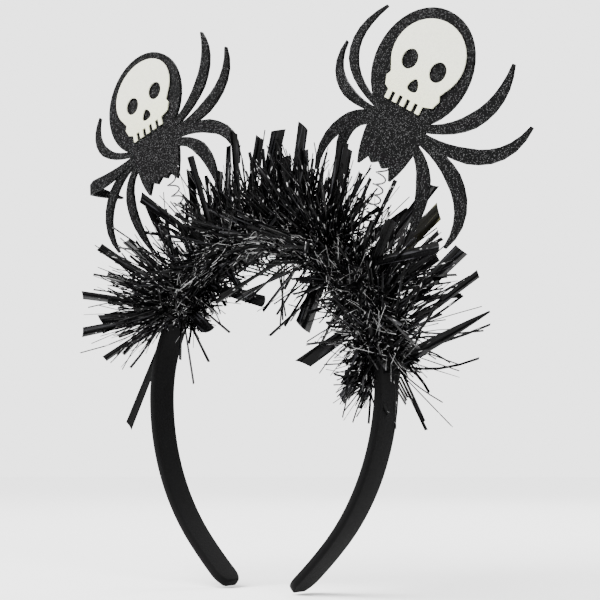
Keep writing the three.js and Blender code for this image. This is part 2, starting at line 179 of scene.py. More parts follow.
# Where more fine strands stand close together
THICKETS = [
    strip(-57, 46, -44, 36),
    strip(-54, 28, -24, 40),
    strip(-49, 18, -6, 42),
    strip(-44, 8, 4, 42),
    strip(-32, -26, 8, 42),
    strip(-26, -20, 12, 46),
    strip(-18, -10, 12, 44),
    strip(-12, -6, 14, 40),
    strip(-4, -4, 12, 38),
    strip(4, 2, 8, 38),
    strip(12, 6, 0, 38),
    strip(20, 8, -6, 38),
    strip(28, 12, -6, 42),
    strip(33, 18, -6, 42),
    strip(36, 22, -4, 36),
    strip(50, -20, -14, 42),
    strip(54, -10, -10, 36),
    strip(60, -24, -16, 38),
    strip(66, -16, -20, 40),
    strip(74, -22, -22, 42),
    strip(86, 118, 52, 20),
    strip(84, 135, 30, 20),
    strip(-59, 100, -66, 16),
    strip(-58, 60, -60, 20),
]
# Lone narrow strips that hang inside the arch
LONE_STRIPS = [
    strip(-57, 158, -35, 21, 1.3),
    strip(-55, 166, -29, 35, 1.1),
    strip(-53, 167, -9, 33, 1.3),
    strip(-46, 165, 15, 37, 1.1),
    strip(-20, 160, 8, 14, 1),
    strip(-14, 150, 45, 12, 1.5),
    strip(4, 155, -50, 18, 1.4),
    strip(20, 158, -23, 31, 1.2),
    strip(24, 156, -4, 30, 1.4),
    strip(28, 155, 6, 28, 1.1),
    strip(34, 156, 12, 31, 1.1),
    strip(42, 160, -3, 37, 1.2),
]
# Flat strips that stand in front of the rest
FRONT_STRIPS = [
    strip(-24, 33, -18, 43, 4.5, twist=0),
    strip(-22, 44, 30, 46, 3, twist=0),
    strip(-10, 38, 32, 50, 3, twist=0),
    strip(10, 16, 4, 32, 6, twist=0),
    strip(46, 18, 43, 49, 4.5, twist=0),
]
# Where the strips that point inward are few and short, in degrees along the arch
OVER_HEAD = (-40, 32)
# Where fine strands are few: a stretch of the arch, directions round it and the share that stays
SPARSE = [
    {"at": (-62, OVER_HEAD[1]), "around": (100, 260), "keep": 0.06},
    {"at": (39, 53), "around": (-65, 75), "keep": 0.2},
    {"at": (63, 85), "around": (-75, 75), "keep": 0.4},
    {"at": (78, 90), "around": (-120, 100), "keep": 0.15},
]
# Strips that fill the garland between the long ones: their lengths by direction, what those over
# the head lose, and the room they leave the springs
FILL = {
    "count": 62,
    "slivers": 3,
    "out": 25,
    "side": 27,
    "in": 9,
    "inward_cut": 0.5,
    "width": 4.5,
    "width_shares": (0.4, 1),
    "lean": 28,
    "lean_step": 2.4,
    "spring_room": 15,
}
# How slivers of one strip stand apart, fan and share its width
SLIVER = {"apart": 3, "fan": 4, "sharing": 1.2}
# A wide strip's mesh: rings along it, points across it, its spread of bend and twist, its width
# from root to end, its curl and half its thickness
STRIP = {
    "rings": 9,
    "points": 5,
    "bend": 0.05,
    "twist": 0.35,
    "root": 0.7,
    "widening": 0.3,
    "curl": 0.36,
    "half": 0.04,
}
# A fine strand: rings along it, points tried against the spiders, its spread of swing and twist,
# how it strays from its leader, its share of the leader's length, and its width
STRAND = {
    "rings": 5,
    "probes": 14,
    "first_probe": 0.2,
    "swing": 0.2,
    "twist": 0.5,
    "strays_along": 6,
    "strays_aside": 20,
    "lengths": (0.35, 0.98),
    "loose_lean": 42,
    "inward_cut": 0.45,
    "margins": (2, 1),
    "narrowest": 0.6,
    "widening": 2,
    "rarity": 4,
}
STRAND_CUT = np.array([(-1, -0.25), (0, 0.4), (1, -0.25), (1, -0.1), (0, 0.58), (-1, -0.1)])
# How strips and strands lie on the sleeve, in degrees. Over the head, those past the front side
# keep along the arch
LYING = {
    "margin": 3,
    "around": (-170, 190),
    "lean": (45, 88),
    "around_over_head": (-100, 140),
    "front_side": 65,
    "roll_spread": 12,
    "lean_along": (78, 92),
}
# Sizes of what lies on the sleeve: strips in millimetres, strands as shares of the settings, and
# how far each is lifted in millimetres
CRUMPLED = {"length": (7, 13), "width": (0.9, 2.2), "lift": (0, 3)}
SHORT = {"length": (0.45, 1.1), "lift": (0, 2.5)}
# Thin strands painted as glints
PAINTED_GLINT_STRANDS = {"length": (0.5, 1.4), "width": (0.18, 0.3), "lift": (0.5, 2.8)}

# Each spider: its body, the waist at the plate's back, its lean, the spring's foot on the arch and
# the spring's top on the thorax, across and up from the waist
SPIDERS = {
    "left": {
        "body": "left_spider",
        "waist": (-59.5, -13.2, 59.2),
        "lean": -15.8,
        "foot": -31,
        "top": (2.5, -15),
    },
    "right": {
        "body": "right_spider",
        "waist": (69.7, 6.3, 49),
        "lean": 35,
        "foot": 45,
        "top": (1.5, -17),
    },
}
# Heights over a spider's waist between which its skull turns yellower
JAW_HEIGHTS = (0.024, 0.004)
# Points of a CAD plate that are closer than this count as one
WELD_REACH = 0.002 * MM
# Noise levels between which foil shows a painted sheen streak or a painted glint, and how much
# lighter a painted sheen streak is
PAINTED_SHEEN_LEVELS = (0.58, 0.68)
GLINT_LEVELS = (0.66, 0.71)
PAINTED_SHEEN_GAIN = 22

# The stage: its floor just under the piece, and its lights, which all face the piece
FLOOR = {"sides": 96, "radius": 6, "gap": 0.5 * MM, "grain": 40.0, "shade": 0.98}
SUN = {"at": (-0.3, -0.8, 0.95), "angle": math.radians(60)}
BOX_LIGHTS = [
    {"name": "left_box", "at": (-0.7, -0.8, 0.5), "size": 0.35, "power": 10.0},
    {"name": "right_box", "at": (1.0, -0.3, 0.4), "size": 0.35, "power": 9.0},
    {"name": "back_box", "at": (-0.3, 0.9, 0.8), "size": 0.4, "power": 9.0},
]


def on_arch(distance):
    """A point of the band's centre line, with outward and along it, by distance from the crown."""
    side = -1 if distance < 0 else 1
    point = np.array([0.0, 0.0, CROWN_HEIGHT])
    left, angle = abs(distance), 0.0
    for arc in BAND_ARCS:
        turned = angle + min(left / arc["radius"], arc["sweep"])
        point[0] += side * arc["radius"] * (math.sin(turned) - math.sin(angle))
        point[2] += arc["radius"] * (math.cos(turned) - math.cos(angle))
        left = max(0.0, left - arc["radius"] * (turned - angle))
        angle = turned
    out = np.array([side * math.sin(angle), 0.0, math.cos(angle)])
    along = np.array([math.cos(angle), 0.0, -side * math.sin(angle)])
    return point, out, along


def at_degrees(degrees):
    """The same for an angle of the top arc."""
    return on_arch(BAND_ARCS[0]["radius"] * math.radians(degrees))


# Finishes


class Shade:
    """A socket of one node tree. Sums on it become Math nodes."""

    def __init__(self, nodes, socket):
        self.nodes = nodes
        self.socket = socket

    def maths(self, operation, *terms):
        return self.nodes.node("ShaderNodeMath", {"operation": operation}, dict(enumerate(terms)))

    def other(self, name):
        """Another output of the same node."""
        return Shade(self.nodes, self.socket.node.outputs[name])

    def __add__(self, other):
        return self.maths("ADD", self, other)

    __radd__ = __add__

    def __sub__(self, other):
        return self.maths("SUBTRACT", self, other)

    def __rsub__(self, other):
        return self.maths("SUBTRACT", other, self)

    def __mul__(self, other):
        return self.maths("MULTIPLY", self, other)

    __rmul__ = __mul__

    def __gt__(self, level):
        return self.maths("GREATER_THAN", self, level)

    def __lt__(self, level):
        return self.maths("LESS_THAN", self, level)


class Nodes:
    """A node tree, and the one way that nodes are added to it."""

    def __init__(self, tree):
        self.tree = tree

    def node(self, kind, settings=None, sockets=None, out=0):
        made = self.tree.nodes.new(kind)
        for key, value in (settings or {}).items():
            setattr(made, key, value)
        for key, value in (sockets or {}).items():
            self.feed(made.inputs[key], value)
        return Shade(self, made.outputs[out])

    def feed(self, socket, value):
        if isinstance(value, Shade):
            self.tree.links.new(value.socket, socket)
        else:
            socket.default_value = value


class Finish(Nodes):
    """A material on one principled shader."""

    def __init__(self, name):
        self.material = bpy.data.materials.new(name)
        self.material.use_nodes = True
        super().__init__(self.material.node_tree)
        self.shader = self.tree.nodes["Principled BSDF"]

    def wear(self, **sockets):
        """Sets or links the shader's sockets, and gives the material."""
        for key, value in sockets.items():
            self.feed(self.shader.inputs[key.replace("_", " ")], value)
        return self.material

    def place(self):
        return self.node("ShaderNodeTexCoord", out="Object")

    def noise(self, scale, detail, where=None):
        sockets = {"Vector": where or self.place(), "Scale": scale, "Detail": detail}
        return self.node("ShaderNodeTexNoise", {"noise_dimensions": "3D"}, sockets)

    def flecks(self, scale, where=None):
        """A shade for each cell of a pattern, with a second one as its Green output."""
        sockets = {"Vector": where or self.place(), "Scale": scale}
        cells = self.node("ShaderNodeTexVoronoi", {"feature": "F1"}, sockets, out="Color")
        return self.node("ShaderNodeSeparateColor", None, {0: cells}, out="Red")

    def stretched(self, where, scales):
        sockets = {0: where, 1: scales}
        return self.node("ShaderNodeVectorMath", {"operation": "MULTIPLY"}, sockets)

    def rise(self, value, low, high):
        """From 0 to 1 as a value goes from low to high."""
        sockets = {"Value": value, "From Min": low, "From Max": high}
        return self.node("ShaderNodeMapRange", {"clamp": True}, sockets)

    def mix(self, share, first, second):
        sockets = {0: share, 6: first, 7: second}
        return self.node("ShaderNodeMix", {"data_type": "RGBA"}, sockets, out=2)

    def bump(self, height, distance, strength):
        sockets = {"Height": height, "Distance": distance, "Strength": strength}
        return self.node("ShaderNodeBump", None, sockets)


def solid(colour, gain=1.0):
    """A colour as a socket takes it, made lighter or darker by a gain."""
    return (*(part * gain for part in colour), 1.0)


def velvet_finish(look):
    """Short dark pile: a soft sheen, patches painted lighter as painted sheen, and a fine nap."""
    velvet = Finish("velvet")
    # Painted sheen: noise patches where the pile's colour is painted lighter
    painted_sheen = velvet.noise(look.patch_scale, 3.0)
    nap = velvet.noise(look.nap_scale, 1.0)
    return velvet.wear(
        Base_Color=velvet.mix(painted_sheen * 0.6 + nap * 0.4, solid(look.colour), solid(look.painted_sheen)),
        Roughness=0.95,
        Sheen_Weight=look.sheen,
        Sheen_Roughness=0.45,
        Specular_IOR_Level=0.05,
        Normal=velvet.bump(nap, 0.25 * MM, 0.6),
    )


def glitter_finish(look):
    """Fine black glitter on a sheet: flecks that each face their own way, a few of them painted
    light as painted glints.
    """
    glitter = Finish("black_glitter")
    shine = glitter.flecks(1 / look.fleck_size)
    tone = shine.other("Green")
    # Painted glints: the few flecks picked here are painted in the light fleck colour
    bright = shine > 1 - look.bright_share
    ground = glitter.mix(tone, solid(look.colour), solid(look.second))
    return glitter.wear(
        Base_Color=glitter.mix(bright, ground, solid(look.fleck)),
        Roughness=0.55 - bright * 0.25,
        Specular_IOR_Level=0.015,
        Normal=glitter.bump(tone, look.grain, 0.5),
    )


def ivory_finish(side, look):
    """Pale glitter on one skull, a little yellower towards the jaw."""
    row = SPIDERS[side]
    pale = Finish(f"ivory_glitter_{side}")
    where = pale.node(
        "ShaderNodeMapping",
        {"vector_type": "TEXTURE"},
        {
            "Vector": pale.place(),
            "Location": Vector(row["waist"]) * MM,
            "Rotation": (0, math.radians(row["lean"]), 0),
        },
    )
    height = pale.node("ShaderNodeSeparateXYZ", None, {0: where}, out="Z")
    ground = pale.mix(pale.rise(height, *JAW_HEIGHTS), solid(look.colour), solid(look.jaw))
    tone = pale.flecks(look.fleck_scale, where)
    mottle = pale.noise(look.mottle_scale, 3.0, where)
    return pale.wear(
        Base_Color=pale.mix(tone * 0.35 + mottle * 0.3, ground, solid(look.speckle)),
        Roughness=0.6 - tone * 0.2,
        Normal=pale.bump(tone, look.grain, 0.4),
    )


def wire_finish(look):
    """Bare spring wire, drawn dull with brighter spots."""
    wire = Finish("spring_wire")
    streak = wire.noise(look.streak_scale, 2.0)
    return wire.wear(
        # The wire's colour is lighter in noise spots
        Base_Color=wire.mix(streak, solid(look.colour), solid(look.worn)),
        Metallic=1.0,
        Roughness=0.25 + streak * 0.2,
    )


def foil_finish(name, colour, look, calm=0.0):
    """Thin glossy foil, crumpled a little, with painted sheen in streaks along each strip and
    painted glints in dashes. Calm foil has fewer painted glints.
    """
    foil = Finish(name)
    lay = foil.node("ShaderNodeAttribute", {"attribute_name": LAY}, out="Vector")
    streak = foil.noise(1.0, 2.0, foil.stretched(lay, look.streaks))
    dash = foil.noise(1.0, 1.0, foil.stretched(lay, look.dashes))
    crumple = foil.noise(look.crease_scale, 2.0)
    # Painted sheen: streak lines along the strip, painted lighter than the foil
    line = foil.rise(streak, *PAINTED_SHEEN_LEVELS)
    # Painted glints: dashes along the strip, painted in the glint colour
    glint = foil.rise(dash, *(level + calm for level in GLINT_LEVELS))
    ground = foil.mix(line, solid(colour), solid(colour, PAINTED_SHEEN_GAIN))
    return foil.wear(
        Base_Color=foil.mix(glint, ground, solid(look.glint)),
        Roughness=0.06 + crumple * 0.24,
        Specular_IOR_Level=0.07,
        Normal=foil.bump(streak * 0.7 + crumple * 0.3, look.crease_depth, 0.6),
    )


def sleeve_finish(look):
    """Foil packed too tight to tell apart: dark, with painted glints."""
    packed = Finish("packed_foil")
    # Painted glints: a few cells of the folds are painted in a dimmed glint colour
    glint = packed.flecks(look.packed_scale) > 1 - look.packed_glints
    return packed.wear(
        Base_Color=packed.mix(glint, solid(look.colour), solid(look.glint, 0.3)),
        Roughness=0.6 - glint * 0.4,
        Specular_IOR_Level=0.03,
        Normal=packed.bump(packed.noise(look.crease_scale, 3.0), look.crease_depth, 0.5),
    )


def painted_glint_finish(look):
    """Thin strands painted light grey as painted glints on the black tinsel, with some real metal
    shine.
    """
    bright = Finish("bright_foil")
    streak = bright.noise(look.crease_scale, 2.0)
    return bright.wear(
        Base_Color=bright.mix(streak, solid(look.glint, 0.5), solid(look.glint)),
        Metallic=0.6,
        Roughness=0.25 + streak * 0.2,
    )


# Meshes


def deselect():
    if bpy.context.mode != "OBJECT":
        bpy.ops.object.mode_set(mode="OBJECT")
    bpy.ops.object.select_all(action="DESELECT")


def pick(piece):
    deselect()
    piece.select_set(True)
    bpy.context.view_layer.objects.active = piece


def choose(piece, chosen):
    """Edit mode on a piece, with only the chosen vertices selected."""
    pick(piece)
    bpy.ops.object.mode_set(mode="EDIT")
    bpy.ops.mesh.select_mode(type="VERT")
    bpy.ops.mesh.select_all(action="DESELECT")
    bpy.ops.object.mode_set(mode="OBJECT")
    piece.data.vertices.foreach_set("select", chosen)
    bpy.ops.object.mode_set(mode="EDIT")


def edit_all():
    """Edit mode on the active piece, with all of it selected."""
    bpy.ops.object.mode_set(mode="EDIT")
    bpy.ops.mesh.select_all(action="SELECT")


def face_outwards():
    """Turns the faces of the edited piece outwards, and leaves edit mode."""
    bpy.ops.mesh.select_all(action="SELECT")
    bpy.ops.mesh.normals_make_consistent(inside=False)
    bpy.ops.object.mode_set(mode="OBJECT")


def finish_piece(piece, material, smooth=None):
    """One material on a piece, and its shading."""
    piece.data.materials.clear()
    piece.data.materials.append(material)
    if smooth is not None:
        pick(piece)
        bpy.ops.object.shade_smooth_by_angle(angle=smooth)
    deselect()


def ribbon_faces(rings, around):
    """The quads between the rings of one ribbon."""
    ring = np.arange(around)
    after = (ring + 1) % around
    belt = np.stack([ring, after, around + after, around + ring], 1)
    return np.concatenate([belt + k * around for k in range(rings - 1)])


def ribbons(name, paths, across, through, cut):
    """Closed ribbons as one mesh, capped at both ends.

    paths, across and through are (ribbon, ring, xyz), and cut is the section's (x, y). An attribute
    keeps each point's place on its own ribbon: across it, along it, and which ribbon it is.
    """
    count, rings, _ = paths.shape
    around = len(cut)
    points = (
        paths[:, :, None, :]
        + across[:, :, None, :] * cut[None, None, :, 0, None]
        + through[:, :, None, :] * cut[None, None, :, 1, None]
    )
    quads = ribbon_faces(rings, around)
    size = rings * around
    faces = (quads[None] + (np.arange(count) * size)[:, None, None]).reshape(-1, 4).tolist()
    start = list(range(around))[::-1]
    end = [size - around + k for k in range(around)]
    for k in range(count):
        faces.append([k * size + corner for corner in start])
        faces.append([k * size + corner for corner in end])
    mesh = bpy.data.meshes.new(name)
    mesh.from_pydata(points.reshape(-1, 3).tolist(), [], faces)
    mesh.update()
    run = np.linalg.norm(paths - paths[:, :1], axis=2)[:, :, None]
    wide = np.linalg.norm(across, axis=2)[:, :, None] * cut[None, None, :, 0]
    lay = np.stack(np.broadcast_arrays(wide, run, np.arange(count)[:, None, None]), 3)
    mesh.attributes.new(LAY, "FLOAT_VECTOR", "POINT").data.foreach_set("vector", lay.ravel())
    piece = bpy.data.objects.new(name, mesh)
    bpy.context.collection.objects.link(piece)
    return piece


# The spiders' reach, so that the tinsel stays clear of them as they bob


def swept_spiders():
    """For each spider: a search tree of its plate, its hinge and the turns that it bobs through."""
    found = []
    for joint in frame["joints"]:
        side = joint["child"].replace("_spider", "")
        mesh = frame["nodes"][f"spider_{side}"].data
        faces = [face.vertices for face in mesh.polygons]
        tree = BVHTree.FromPolygons([vertex.co for vertex in mesh.vertices], faces)
        axis = Vector(joint["axis"])
        angles = np.linspace(*joint["range_deg"], BOB_PLACES)
        turns = [Matrix.Rotation(-math.radians(angle), 3, axis) for angle in angles]
        found.append((tree, Vector(joint["pos_m"]), turns))
    return found


def clear_of(spiders, path, room):
    """True where no point of a path comes within room of a spider, wherever it bobs."""
    for tree, hinge, turns in spiders:
        for point in path:
            arm = Vector(point) - hinge
            if any(tree.find_nearest(turn @ arm + hinge, room)[0] is not None for turn in turns):
                return False
    return True


# Settings


def length_setting(name, description, default):
    return FloatProperty(name=name, description=description, default=default, unit="LENGTH")


def angle_setting(name, description, default):
    return FloatProperty(name=name, description=description, default=default, subtype="ANGLE")


def share_setting(name, description, default):
    return FloatProperty(name=name, description=description, default=default, subtype="FACTOR")


def number_setting(name, description, default):
    return FloatProperty(name=name, description=description, default=default)


def count_setting(name, description, default):
    return IntProperty(name=name, description=description, default=default)


def colour_setting(name, description, default):
    return FloatVectorProperty(name=name, description=description, default=default, subtype="COLOR")


class BandLook(bpy.types.PropertyGroup):
    width: length_setting("Width", "Band from front to back", 13.5 * MM)
    thickness: length_setting("Thickness", "Band and velvet", 3.6 * MM)
    edge: length_setting("Edge radius", "Rounding of the band's edges", 1.55 * MM)
    tip: length_setting("Tip length", "Stretch that narrows at each end", 7 * MM)
    colour: colour_setting("Velvet", "Pile in shade", (0.0015, 0.0015, 0.0016))
    # Painted sheen: the lighter pile colour, laid on the noise patches at the scale below
    painted_sheen: colour_setting("Brushed velvet", "Pile that catches light", (0.0033, 0.0033, 0.0034))
    sheen: share_setting("Sheen", "Soft edge light of the pile", 0.03)
    patch_scale: number_setting("Patches", "Brushed patches per metre", 70.0)
    nap_scale: number_setting("Nap", "Tufts of pile per metre", 2600.0)


class GlitterLook(bpy.types.PropertyGroup):
    colour: colour_setting("Ground", "Sheet between the flecks", (0.0005, 0.0005, 0.0005))
    second: colour_setting("Dull flecks", "Flecks turned away", (0.0042, 0.0042, 0.0044))
    # Painted glint colour for the few shining flecks
    fleck: colour_setting("Bright flecks", "Flecks that catch light", (0.055, 0.055, 0.056))
    fleck_size: length_setting("Fleck size", "Across one fleck", 0.24 * MM)
    bright_share: share_setting("Bright share", "Flecks that shine", 0.08)
    grain: length_setting("Grain", "Height of the flecks", 0.12 * MM)
    edge: length_setting("Edge", "Softened cut edge", 0.3 * MM)


class IvoryLook(bpy.types.PropertyGroup):
    colour: colour_setting("Skull", "Pale glitter at the brow", (0.56, 0.565, 0.46))
    jaw: colour_setting("Jaw", "Yellower glitter at the jaw", (0.55, 0.555, 0.37))
    speckle: colour_setting("Speckle", "Flecks in shade", (0.3, 0.3, 0.25))
    fleck_scale: number_setting("Flecks", "Flecks per metre", 2400.0)
    mottle_scale: number_setting("Mottle", "Cloudy patches per metre", 700.0)
    grain: length_setting("Grain", "Height of the flecks", 0.08 * MM)
    edge: length_setting("Edge", "Softened cut edge", 0.15 * MM)


class SpringLook(bpy.types.PropertyGroup):
    radius: length_setting("Coil radius", "To the wire's middle", 2.3 * MM)
    wire: length_setting("Wire radius", "Half the wire", 0.36 * MM)
    turns: count_setting("Turns", "Turns of the coil", 14)
    steps: count_setting("Steps", "Points in a turn", 20)
    tightness: number_setting("Tightness", "Closer winding at the band", 0.55)
    streak_scale: number_setting("Streaks", "Bright spots per metre", 900.0)
    reach: length_setting("Reach", "Straight stretch at each end", 17 * MM)
    colour: colour_setting("Wire", "Drawn wire", (0.05, 0.05, 0.052))
    # Lighter wire colour, laid in noise spots at the spot scale above
    worn: colour_setting("Bright wire", "Rubbed wire", (0.2, 0.2, 0.205))


class TinselLook(bpy.types.PropertyGroup):
    strands: count_setting("Strands", "Fine strands in the garland", 2300)
    short_strands: count_setting("Short strands", "Strands over the sleeve", 3100)
    shortest: length_setting("Shortest", "Shortest strand", 11 * MM)
    longest: length_setting("Longest", "Longest strand", 34 * MM)
    width: length_setting("Strand width", "Usual width", 0.85 * MM)
    crumpled: count_setting("Crumpled strips", "Short strips laid over the sleeve", 130)
    taper: number_setting("Taper", "Degrees of arch where the sleeve narrows", 24.0)
    taper_steps: count_setting("Taper steps", "Steps in which it narrows", 8)
    slant: number_setting("Slant", "How far the strips' ends are cut aslant", 0.6)
    sleeve_lift: length_setting(
        "Sleeve lift", "How far the sleeve sits outward on the band", 0.5 * MM
    )
    company: share_setting("Company", "Strands that keep to a wide strip", 0.68)
    room: length_setting("Room", "Kept clear of the spiders", 1.5 * MM)
    # How many thin strands are painted as glints
    glints: count_setting("Bright strands", "Thin strands that catch light", 700)
    seed: count_setting("Seed", "Arrangement of the strands", 11)
    colour: colour_setting("Foil colour", "Black foil", (0.0009, 0.0009, 0.001))
    olive: colour_setting("Olive foil", "The odd strip", (0.004, 0.0038, 0.0022))
    # Painted glint colour: the foil's dashes, the sleeve's glints and the thin painted glint
    # strands
    glint: colour_setting("Glint", "Foil that catches light", (0.45, 0.45, 0.45))
    # Scales of the streak noise: it lays the painted sheen lines and the foil's creases
    streaks: FloatVectorProperty(
        name="Streaks",
        description="Streaks per metre across and along a strip",
        default=(750.0, 40.0, 7.0),
    )
    # Scales of the dash noise that lays the painted glints
    dashes: FloatVectorProperty(
        name="Dashes",
        description="Glints per metre across and along a strip",
        default=(1500.0, 240.0, 13.0),
    )
    calm: number_setting("Calm", "How much less the wide strips glint", 0.08)
    # The sleeve's folds, and the share of them with painted glints
    packed_scale: number_setting("Packed foil", "Folds per metre in the sleeve", 1900.0)
    packed_glints: share_setting("Packed glints", "Folds that shine", 0.02)
    crease_scale: number_setting("Creases", "Creases per metre", 500.0)
    crease_depth: length_setting("Crease depth", "Depth of a crease", 0.3 * MM)


class StageLook(bpy.types.PropertyGroup):
    eye: FloatVectorProperty(
        name="Camera",
        description="Where the picture is taken from",
        default=(0.3085, -0.344, -0.0958),
        subtype="XYZ",
    )
    yaw: angle_setting("Yaw", "Camera's turn to the left", math.radians(40.0))
    tilt: angle_setting("Tilt", "Camera's tilt above level", math.radians(8.86))
    view: angle_setting("View angle", "Across the square picture", math.radians(31.09))
    floor: colour_setting("Floor", "Pale floor", (0.95, 0.95, 0.95))
    sky: number_setting("Sky", "Strength of the light all round", 0.4)
    backdrop: number_setting("Backdrop", "White seen behind the piece", 3.0)
    daylight: number_setting("Daylight", "Strength of the main light", 12.0)


class HeadbandSettings(bpy.types.PropertyGroup):
    band: PointerProperty(type=BandLook, name="Band", description="Velvet band")
    black: PointerProperty(type=GlitterLook, name="Spiders", description="Black glitter plates")
    ivory: PointerProperty(type=IvoryLook, name="Skulls", description="Pale glitter plates")
    spring: PointerProperty(type=SpringLook, name="Springs", description="Coil springs")
    tinsel: PointerProperty(type=TinselLook, name="Tinsel", description="Foil garland")
    stage: PointerProperty(type=StageLook, name="Stage", description="Floor, lights and camera")


# Operators


class HEADBAND_OT_stage(bpy.types.Operator):
    """Pale floor, soft studio light and the camera"""

    bl_idname = "headband.stage"
    bl_label = "Stage"

    def execute(self, context):
        look = context.scene.headband.stage
        self.camera(context, look)
        self.floor(look)
        self.lights(context, look)
        return {"FINISHED"}

    def camera(self, context, look):
        lens = bpy.data.cameras.new("camera")
        lens.sensor_fit = "HORIZONTAL"
        lens.angle = look.view
        lens.clip_start = 0.01
        camera = bpy.data.objects.new("camera", lens)
        camera.location = look.eye
        camera.rotation_euler = (math.pi / 2 + look.tilt, 0, look.yaw)
        context.collection.objects.link(camera)
        context.scene.camera = camera

    def floor(self, look):
        deselect()
        bpy.ops.mesh.primitive_circle_add(
            vertices=FLOOR["sides"],
            radius=FLOOR["radius"],
            fill_type="NGON",
            location=(0, 0, CAD_BOX[0][2] - FLOOR["gap"]),
        )
        floor = bpy.context.active_object
        floor.name = "floor"
        bpy.ops.object.transform_apply(location=True, rotation=True, scale=True)
        pale = Finish("pale_floor")
        grain = pale.noise(FLOOR["grain"], 3.0)
        colour = pale.mix(grain, solid(look.floor), solid(look.floor, FLOOR["shade"]))
        floor.data.materials.append(pale.wear(Base_Color=colour, Roughness=0.8))

    def lights(self, context, look):
        world = bpy.data.worlds.new("studio")
        world.use_nodes = True
        air = Nodes(world.node_tree)
        around = air.tree.nodes["Background"]
        air.feed(around.inputs["Color"], WHITE)
        air.feed(around.inputs["Strength"], look.sky)
        sockets = {"Color": WHITE, "Strength": look.backdrop}
        backdrop = air.node("ShaderNodeBackground", None, sockets)
        seen = air.node("ShaderNodeLightPath", out="Is Camera Ray")
        sockets = {0: seen, 1: Shade(air, around.outputs[0]), 2: backdrop}
        either = air.node("ShaderNodeMixShader", None, sockets)
        air.feed(air.tree.nodes["World Output"].inputs["Surface"], either)
        context.scene.world = world
        daylight = bpy.data.lights.new("daylight", "SUN")
        daylight.energy = look.daylight
        daylight.angle = SUN["angle"]
        self.aim(context, daylight, SUN["at"])
        for row in BOX_LIGHTS:
            lamp = bpy.data.lights.new(row["name"], "AREA")
            lamp.size = row["size"]
            lamp.energy = row["power"]
            self.aim(context, lamp, row["at"])

    def aim(self, context, lamp, place):
        """Stands a light at a place, facing the headband."""
        light = bpy.data.objects.new(lamp.name, lamp)
        light.location = place
        light.rotation_euler = (-Vector(place)).to_track_quat("-Z", "Y").to_euler()
        context.collection.objects.link(light)


class HEADBAND_OT_band(bpy.types.Operator):
    """Velvet band, spun from its section along three arcs and mirrored"""

    bl_idname = "headband.band"
    bl_label = "Velvet band"

    def execute(self, context):
        look = context.scene.headband.band
        deselect()
        crown = (0, 0, CROWN_HEIGHT)
        bpy.ops.mesh.primitive_plane_add(size=1, location=crown, rotation=(0, math.pi / 2, 0))
        band = context.active_object
        band.name = "velvet_band_cover"
        band.data.name = band.name
        bpy.ops.object.transform_apply(location=True, rotation=True, scale=True)
        edit_all()
        bpy.ops.transform.resize(value=(1, look.width, look.thickness), center_override=crown)
        bpy.ops.mesh.bevel(offset=look.edge, segments=5, affect="VERTICES")
        bpy.ops.mesh.delete(type="ONLY_FACE")
        bpy.ops.mesh.select_all(action="SELECT")
        self.sweep(look)
        bpy.ops.mesh.edge_face_add()
        bpy.ops.mesh.bevel(offset=TIP["rim"], segments=TIP["rim_segments"], affect="EDGES")
        face_outwards()
        mirror = band.modifiers.new("other_half", "MIRROR")
        mirror.use_clip = True
        bpy.ops.object.modifier_apply(modifier=mirror.name)
        finish_piece(band, velvet_finish(look), smooth=math.radians(50))
        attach(band, "headband")
        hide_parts("velvet_band")
        return {"FINISHED"}

    def sweep(self, look):
        """Spins the selected section along the arcs, then narrows it to the tip."""
        length = 0.0
        for arc in BAND_ARCS:
            sweep = arc["sweep"]
            if arc is BAND_ARCS[-1]:
                sweep -= look.tip / arc["radius"]
            self.spin(length, arc["radius"], sweep, arc["steps"])
            length += arc["radius"] * sweep
        radius, steps = BAND_ARCS[-1]["radius"], TIP["steps"]
        width = 1.0
        for step in range(1, steps + 1):
            self.spin(length, radius, look.tip / steps / radius, 1)
            length += look.tip / steps
            narrowed = math.sqrt(1 - (TIP["narrowing"] * step / steps) ** 2)
            middle = tuple(on_arch(length)[0])
            bpy.ops.transform.resize(value=(1, narrowed / width, 1), center_override=middle)
            width = narrowed

    def spin(self, length, radius, sweep, steps):
        point, out, _ = on_arch(length)
        centre = tuple(point - radius * out)
        bpy.ops.mesh.spin(steps=steps, angle=sweep, center=centre, axis=tuple(FRONT))


class HEADBAND_OT_spiders(bpy.types.Operator):
    """Glitter finish and softened edges on the spiders and their skulls"""

    bl_idname = "headband.spiders"
    bl_label = "Spiders and skulls"

    def execute(self, context):
        settings = context.scene.headband
        black = glitter_finish(settings.black)
        for side in SPIDERS:
            self.dress(frame["nodes"][f"spider_{side}"], black, settings.black.edge)
            ivory = ivory_finish(side, settings.ivory)
            self.dress(frame["nodes"][f"skull_{side}"], ivory, settings.ivory.edge)
        return {"FINISHED"}

    def dress(self, node, material, edge):
        weld = node.modifiers.new("weld", "WELD")
        weld.merge_threshold = WELD_REACH
        bevel = node.modifiers.new("cut_edge", "BEVEL")
        bevel.width = edge
        bevel.segments = 2
        bevel.limit_method = "ANGLE"
        bevel.angle_limit = math.radians(40)
        node.material_slots[0].material = material


